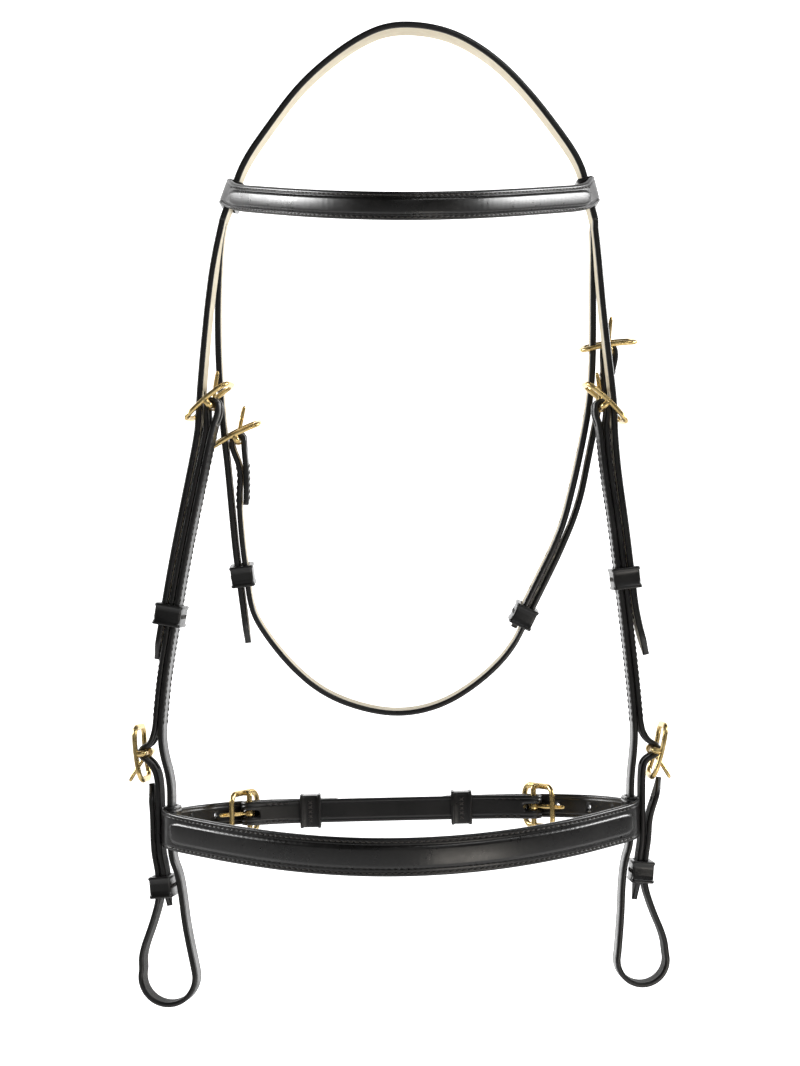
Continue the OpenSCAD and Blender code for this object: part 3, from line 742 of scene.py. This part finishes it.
def build_noseband():
    m = Mesh()
    up, tall = unit_of(nose_place, 0, 0), Vector((0, 0, 1))
    halves = []
    for side in (LEFT, RIGHT):
        outer, inner = noseband_loop(side)
        points = [nose_place(x, 0, y) for x, y in NOSE_BILLET[side][::-1]]
        billet = [(p, up, STRAP_W / 2, NOSE_T / 2) for p in points[:-1]]
        neck = (points[-1].lerp(points[-2], 0.35), up, STRAP_W / 2 + 0.6, NOSE_T / 2)
        wall = [(p, tall, NOSE_H / 2 - (0 if i else 2.2), WALL_T / 2) for i, p in enumerate(outer)]
        halves.append(billet + [neck] + wall)
        ribbon(m, [(p, tall, NOSE_H / 2, WALL_T / 2) for p in inner], step=1.0)
    tilt = unit_of(nose_front_place, 0, 0)
    front = []
    for i, (x, y) in enumerate(bowed(NOSE, NOSE_Y, NOSE_BOW)):
        k = min(1, min(i, len(NOSE) - 1 - i) / 2)
        front.append((nose_front_place(x, 0, y), tall.lerp(tilt, k), NOSE_H / 2,
                      (WALL_T + (NOSE_T - WALL_T) * k) / 2))
    ribbon(m, halves[LEFT] + front + halves[RIGHT][::-1], (True, True))
    cut_holes(m, [c for side in (LEFT, RIGHT)
                  for c in hole_cutters(smooth(NOSE_BILLET[side], 10), nose_place, 24, 5, NOSE_T)])
    roll_rows(m, bowed(NOSE_PAD, NOSE_Y, NOSE_BOW), nose_front_place, 7.6, NOSE_T / 2)
    finish_piece(m, "noseband_leather", "noseband_strap", "noseband")


def roll_rows(mesh, pts, place, offset, face):
    """Stitch rows above and below a padded roll, on the front of its band."""
    line = resample(smooth(pts, 8), 1.5)
    for w in (-offset, offset):
        row, ups = [], []
        for i, p in enumerate(line):
            h = (line[min(i + 1, len(line) - 1)] - line[max(i - 1, 0)]).normalized()
            out = Vector((h[1], -h[0]))
            q = p + out * face
            a = place(q[0], w, q[1])
            row.append(a)
            ups.append((place(q[0] + out[0], w, q[1] + out[1]) - a).normalized())
        stitch_line(mesh, row, ups, 2.5, 0.34)


def build_roll(band, pts, place, half, thick):
    """Padded roll: a crowned pad with rounded ends, drawn in a little at every stitch."""
    m = Mesh()
    line = resample(smooth(pts, 8), 0.7)
    ss = distances(line)
    total = ss[-1]
    centres, wides, sections = [], [], []
    count = 15
    stations = [total * (0.5 - 0.5 * math.cos(math.pi * k / 10)) * 0.06 for k in range(10)]
    stations += [s for s in ss if stations[-1] < s < total - stations[-1]] + [total - s for s in stations[::-1]]
    i = 0
    for s in stations:
        while i < len(ss) - 2 and ss[i + 1] < s:
            i += 1
        p = line[i].lerp(line[i + 1], min(1, (s - ss[i]) / (ss[i + 1] - ss[i])))
        h = (line[min(i + 2, len(line) - 1)] - line[max(i - 1, 0)]).normalized()
        q = p + Vector((h[1], -h[0])) * ROLL_SEAT
        centres.append(place(q[0], 0, q[1]))
        wides.append((place(q[0], -1, q[1]) - centres[-1]).normalized())
        u = min(s, total - s) / 9.0
        k = math.sqrt(max(0.0, 1 - (1 - min(1, u)) ** 2))
        w, t = half * (0.45 + 0.55 * k), max(0.12, thick * k)
        pucker = 0.16 * (0.5 + 0.5 * math.cos(2 * math.pi * s / 3.3)) * k
        ripple = 0.05 * math.sin(s * 0.31) + 0.04 * math.sin(s * 0.83 + 1)
        sec = []
        for j in range(count):
            x = math.cos(math.pi * j / (count - 1))
            edge = abs(x) ** 6
            rise = (max(0.0, 1 - x * x)) ** 0.56
            sec.append((x * (w - pucker * edge), -(t * rise + ripple * k * rise - pucker * 0.6 * edge), COVER))
        sections.append(sec + [(-w * 0.6, 0.35 * k, COVER), (w * 0.6, 0.35 * k, COVER)])
    sweep(m, centres, wides, sections)
    finish_piece(m, f"{band}_roll_pad", f"{band}_roll", band, [PADDED])


def build_browband():
    m = Mesh()
    halves = []
    wall = HEAD_T / 2 + BROW_SLACK + WALL_T / 2
    deep = HEAD_W / 2 + 0.8 + WALL_T / 2
    for side in (LEFT, RIGHT):
        cx, cz = BROW_LOOP[side]
        a = math.radians(BROW_LOOP_TURN[side])
        along = Vector((math.cos(a), 0, math.sin(a)))
        outward = Vector((-math.sin(a), 0, math.cos(a))) * -SIGN[side]
        outer = [(wall, d) for d in (deep - 1.2, 8, 0, -8, 1.2 - deep)]
        inner = [(wall, deep - 0.4), (wall - 0.8, deep), (0, deep), (0.8 - wall, deep), (-wall, deep - 0.8),
                 (-wall, 6), (-wall, -6), (-wall, 0.8 - deep), (0.8 - wall, -deep), (0, -deep),
                 (wall - 0.4, -deep)]
        outer, inner = ([((Vector((cx, d, cz)) + outward * n) * MM, along, BROW_H / 2, WALL_T / 2) for n, d in line]
                        for line in (outer, inner))
        halves.append(outer)
        ribbon(m, inner, step=1.0)
    tilt = unit_of(brow_front_place, 0, 0)
    front = [(brow_front_place(x, 0, y), tilt, BROW_H / 2, BROW_T / 2)
             for x, y in bowed(BROW, BROW_Y, BROW_BOW)[1:-1]]
    ribbon(m, halves[LEFT] + front + halves[RIGHT][::-1])
    roll_rows(m, bowed(BROW_PAD, BROW_Y, BROW_BOW), brow_front_place, 5.2, BROW_T / 2)
    finish_piece(m, "browband_leather", "browband_strap", "browband")


# ---------------------------------------------------------------- keepers
def build_keeper(name, body, place, at, turn, a, b, seam):
    """Leather keeper or runner: a closed band with raised rims and a sewn seam on one face."""
    m = Mesh()
    t = math.radians(turn)
    ex, ez = Vector((math.cos(t), math.sin(t))), Vector((-math.sin(t), math.cos(t)))

    def put(x, y, z):
        p = Vector(at) + ex * x + ez * z
        return place(p[0], y, p[1])
    w, half, rad = STRAP_W / 2 + SLIDE_GAP, RUNNER_L / 2, 1.3
    hz, mid = (b - a) / 2, (a + b) / 2
    outline = []
    for sy, sz, a0 in ((1, 1, 0), (-1, 1, 90), (-1, -1, 180), (1, -1, 270)):
        for k in range(7):
            ang = math.radians(a0 + 15 * k)
            outline.append((sy * (w + RUNNER_T - rad), sz * (hz + RUNNER_T - rad), math.cos(ang), math.sin(ang)))
    rim, rw = 0.45, 1.8
    prof = [(-half, -RUNNER_T + 0.25), (-half, rim - 0.5), (-half + 0.25, rim - 0.1), (-half + 0.6, rim),
            (-half + rw - 0.6, rim), (-half + rw - 0.2, rim * 0.6), (-half + rw + 0.1, 0.0), (-1.5, 0.0),
            (1.5, 0.0), (half - rw - 0.1, 0.0), (half - rw + 0.2, rim * 0.6), (half - rw + 0.6, rim),
            (half - 0.6, rim), (half - 0.25, rim - 0.1), (half, rim - 0.5), (half, -RUNNER_T + 0.25),
            (half - 0.3, -RUNNER_T + 0.02), (0, -RUNNER_T + 0.02), (-half + 0.3, -RUNNER_T + 0.02)]
    verts = []
    for oy, oz, cy, cz in outline:
        for x, off in prof:
            r = rad + off
            y = oy + cy * r
            z = oz + cz * r
            if off < -1:
                y = math.copysign(min(abs(y), w), y)
                z = math.copysign(min(abs(z), hz), z)
                if r < 0:
                    y, z = math.copysign(w, oy), math.copysign(hz, oz)
            verts.append(put(x, y, mid + z))
    m.add(verts, hoop(len(outline), len(prof)), COVER)
    # A crossed row of stitches down the middle of one face
    zf = (b + RUNNER_T) if seam > 0 else (a - RUNNER_T)
    up = put(0, 0, zf + seam) - put(0, 0, zf)
    for k in range(5):
        y = -4.8 + 2.4 * k
        for s in (-1, 1):
            p0, p1 = put(-1.3 * s, y - 1.0, zf), put(1.3 * s, y + 1.0, zf)
            capsule(m, (p0 + p1) / 2, p1 - p0, up, 3.0 * MM, 0.33 * MM, 0.12 * MM)
    finish_piece(m, f"{name}_leather", name, body)


# ---------------------------------------------------------------- buckles
def turned(place, k, turn, sense):
    """Drawing of a ring or pin about its bar at k; sense -1 mirrors it."""
    c, s = math.cos(math.radians(turn)), math.sin(math.radians(turn))

    def put(x, y, z):
        return place(k[0] + x * c - sense * z * s, y, k[1] + x * s + sense * z * c)
    return put


def build_buckle(name, node_name, body, put):
    """Bowed cast ring with a rounded rail and a pin bar."""
    hx, hy, rad = (RING_L - RAIL_W) / 2, (RING_W - RAIL_W) / 2, 5.0
    path = []
    for sx, sy, a0 in ((1, 1, 0), (-1, 1, 90), (-1, -1, 180), (1, -1, 270)):
        for i in range(9):
            a = math.radians(a0 + 90 * i / 8)
            path.append((sx * (hx - rad) + rad * math.cos(a), sy * (hy - rad) + rad * math.sin(a),
                         math.cos(a), math.sin(a)))
        x, y, cx, cy = path[-1]
        if a0 in (0, 180):
            path += [(x * (1 - 2 * f), y, 0, cy) for f in (0.2, 0.4, 0.6, 0.8)]
        else:
            path += [(x, y * (1 - 2 * f), cx, 0) for f in (0.25, 0.5, 0.75)]
    m = Mesh()
    seg = 18
    verts = []
    for x, y, cx, cy in path:
        rise = math.sqrt(BOW_R ** 2 - x * x)
        centre = Vector((x, y, BAR_DROP - BOW_R + rise))
        nz = Vector((x, 0, rise)) / BOW_R
        out = Vector((cx, cy, 0))
        out = (out - nz * out.dot(nz)).normalized()
        for i in range(seg):
            a = 2 * math.pi * i / seg
            verts.append(put(*(centre + out * (math.cos(a) * RAIL_W / 2) + nz * (math.sin(a) * RAIL_T / 2))))
    m.add(verts, hoop(len(path), seg), COVER)
    bend = [(s * (PIN_END - PIN_BEND + PIN_BEND * math.sin(a)), PIN_BEND - PIN_BEND * math.cos(a)) for s in (1, -1)
            for a in (math.pi / 2 * k / 6 for k in range(7))]
    pin = ([(-PIN_END, 3.6), (-PIN_END, 2.4)] + bend[13:6:-1] + [(-6, 0), (0, 0), (6, 0)] + bend[:7]
           + [(PIN_END, 2.4), (PIN_END, 3.6)])
    tube(m, [put(0, y, z) for y, z in pin], [BAR_R if abs(y) > 9 else 1.42 for y, z in pin],
         put(1, 0, 0) - put(0, 0, 0))
    finish_piece(m, name, node_name, body, [BRASS])


def tube(mesh, pts, radii, side):
    """Round bar through points with a radius at each."""
    verts = []
    n, seg = len(pts), 16
    for i, p in enumerate(pts):
        t = (pts[min(i + 1, n - 1)] - pts[max(i - 1, 0)]).normalized()
        a = (side - t * side.dot(t)).normalized()
        b = t.cross(a)
        for j in range(seg):
            ang = 2 * math.pi * j / seg
            verts.append(p + (a * math.cos(ang) + b * math.sin(ang)) * radii[i] * MM)
    faces, ends = skin(n, seg)
    mesh.add(verts, faces + ends, COVER)


def build_tongue(name, node_name, put):
    """Tongue with a rolled eye round the bar, a flattened root and a rounded, slightly hooked tip."""
    m = Mesh()
    ring = 28
    half_prof = [(1.62, -1.25), (1.72, -1.45), (2.1, -1.5), (2.5, -1.4), (2.6, -1.1)]
    prof = half_prof + [(r, -y) for r, y in half_prof[::-1]]
    verts = []
    for i in range(ring):
        a = 2 * math.pi * i / ring
        verts += [put(r * math.cos(a), y, r * math.sin(a)) for r, y in prof]
    m.add(verts, hoop(ring, len(prof)), COVER)
    xs = [2.0, 3.0, 4.5, 6.5, 9, 11.5, 13.5, 15, 16.2, 17.0, 17.6, 17.9, 18.0]
    rs = [1.25, 1.2, 1.1, 1.05, 1.05, 1.05, 1.05, 1.02, 0.98, 0.88, 0.66, 0.38, 0.1]
    zs = [0.0, 0.06, 0.12, 0.18, 0.2, 0.15, 0.08, 0.0, -0.08, -0.14, -0.2, -0.24, -0.26]
    tube(m, [put(x, 0, z) for x, z in zip(xs, zs)], rs, put(0, 1, 0) - put(0, 0, 0))
    finish_piece(m, name, node_name, node_name, [BRASS])


# ---------------------------------------------------------------- everything
build_headpiece()
build_throatlash()
build_jaw_strap()
build_noseband()
build_browband()
build_roll("noseband", bowed(NOSE_PAD, NOSE_Y, NOSE_BOW), nose_front_place, 6.1, 4.1)
build_roll("browband", bowed(BROW_PAD, BROW_Y, BROW_BOW), brow_front_place, 4.15, 4.0)
for side, name in enumerate(SIDES):
    build_cheekpiece(side)
    cheek = cheek_place(side)
    # Each pin stands off its ring by its lift
    for kind, place, bar, turn, lift, sense in (
            ("cheek", cheek, CHEEK_BAR, CHEEK_TURN, CHEEK_LIFT, -1), ("bit", cheek, BIT_BAR, BIT_TURN, BIT_LIFT, 1),
            ("throat", throat_place, THROAT_BAR, THROAT_TURN_A, THROAT_LIFT, 1),
            ("jaw", nose_place, JAW_BAR, JAW_TURN_A, JAW_LIFT, SIGN[side])):
        build_buckle(f"{kind}_ring_{name}", f"{kind}_buckle_{name}", f"{kind}_frame_{name}",
                     turned(place, bar[side], turn[side], sense))
        build_tongue(f"{kind}_pin_{name}", f"{kind}_tongue_{name}",
                     turned(place, bar[side], turn[side] + sense * lift[side], sense))
    build_keeper(f"cheek_runner_{name}", f"cheek_runner_{name}", cheek, CHEEK_RUNNER[side], CHEEK_RUNNER_TURN[side],
                 -CHEEK_T - SLIDE_GAP, CHEEK_T + HEAD_T + 0.8 + SLIDE_GAP, -1)
    build_keeper(f"throat_runner_{name}", f"throat_runner_{name}", throat_place, THROAT_RUNNER[side],
                 THROAT_RUNNER_TURN[side], -THROAT_T / 2 - SLIDE_GAP, THROAT_T / 2 + HEAD_T + 1.2 + SLIDE_GAP, 1)
    build_keeper(f"bit_keeper_{name}", "harness", cheek, BIT_KEEPER[side], BIT_KEEPER_TURN[side],
                 -CHEEK_T / 2 - 0.4, CHEEK_T * 1.5 + 1.8, -1)
    build_keeper(f"jaw_keeper_{name}", "noseband", nose_place, JAW_KEEPER[side], 0,
                 -NOSE_T / 2 - 0.6, NOSE_T * 1.5 + 2.9, -1)


# ---------------------------------------------------------------- stage, lights and camera
def emitter(name, location, target, size, power, colour=(1, 1, 1)):
    light = bpy.data.lights.new(name, "AREA")
    light.shape, light.size, light.size_y = "RECTANGLE", size[0], size[1]
    light.energy, light.color = power, colour
    ob = bpy.data.objects.new(name, light)
    ob.location = location
    ob.rotation_euler = (Vector(target) - Vector(location)).to_track_quat("-Z", "Y").to_euler()
    bpy.context.scene.collection.objects.link(ob)


def cyclorama():
    """Pale wall that curves down onto a wide pale floor."""
    wall = Look("studio_paper", Roughness=0.9, Specular_IOR_Level=0.1, Emission_Strength=1.3)
    wall.colour(wall.texture("Noise", Scale=6.0, Detail=2.0), (0.93, 0.93, 0.93), (0.96, 0.96, 0.96),
                into=("Base Color", "Emission Color"))
    paper = Look("floor_paper", Base_Color=(0.85, 0.85, 0.85, 1), Emission_Color=(1, 1, 1, 1),
                 Emission_Strength=0.15, Roughness=0.9)
    floor_z, wall_y, bend = -0.72, 1.9, 0.9
    profile = [(wall_y - bend + bend * math.sin(a), floor_z + bend - bend * math.cos(a))
               for a in (math.pi / 2 * i / 12 for i in range(13))] + [(wall_y, 1.6)]
    for name, line, reach, look in (("studio_wall", profile, 1.7, wall),
                                    ("studio_floor", [(-5.0, floor_z), (wall_y - bend, floor_z)], 5.0, paper)):
        mesh = Mesh()
        verts = [(x, y, z) for y, z in line for x in (-reach, reach)]
        faces = [[2 * i, 2 * i + 1, 2 * i + 3, 2 * i + 2] for i in range(len(line) - 1)]
        mesh.add(verts, faces, 0)
        mesh.to_object(name, [look.material])


cyclorama()
emitter("left_box", (-1.0, 0.2, 0.05), (0, 0, -0.1), (0.6, 0.2), 9)
emitter("right_box", (1.0, 0.2, 0.05), (0, 0, -0.1), (0.6, 0.2), 9)
emitter("top_strip", (0.55, -0.55, 0.55), (0.1, 0, -0.35), (0.9, 0.14), 2.5)
emitter("low_strip", (0.45, -0.6, -0.66), (0.1, 0, -0.4), (0.5, 0.1), 0.9, (1, 0.93, 0.84))
emitter("front_box", (0.1, -1.8, 0.25), (0, 0, -0.3), (1.4, 0.8), 1.5)

scene = bpy.context.scene
world = bpy.data.worlds.new("studio")
scene.world = world
world.use_nodes = True
world_nodes, world_links = world.node_tree.nodes, world.node_tree.links
fill = world_nodes["Background"]
fill.inputs["Color"].default_value = (1, 1, 1, 1)
fill.inputs["Strength"].default_value = 0.06
backdrop = world_nodes.new("ShaderNodeBackground")
backdrop.inputs["Strength"].default_value = 1.1
backdrop.inputs["Color"].default_value = (1, 1, 1, 1)
either = world_nodes.new("ShaderNodeMixShader")
world_links.new(world_nodes.new("ShaderNodeLightPath").outputs["Is Camera Ray"], either.inputs["Fac"])
world_links.new(fill.outputs["Background"], either.inputs[1])
world_links.new(backdrop.outputs["Background"], either.inputs[2])
world_links.new(either.outputs["Shader"], world_nodes["World Output"].inputs["Surface"])
scene.view_settings.view_transform = "Standard"

# Camera straight in front, 1.5 m away, framing 547 mm of height at the object
CAMERA_X, CAMERA_Z, CAMERA_D, FRAME_H = -2.6 * MM, -257.3 * MM, 1.5, 0.547
cam_data = bpy.data.cameras.new("camera")
cam_data.sensor_fit = "VERTICAL"
cam_data.angle = 2 * math.atan(FRAME_H / 2 / CAMERA_D)
cam = bpy.data.objects.new("camera", cam_data)
cam.location = (CAMERA_X, -CAMERA_D, CAMERA_Z)
cam.rotation_euler = (math.pi / 2, 0, 0)
scene.collection.objects.link(cam)
scene.camera = cam
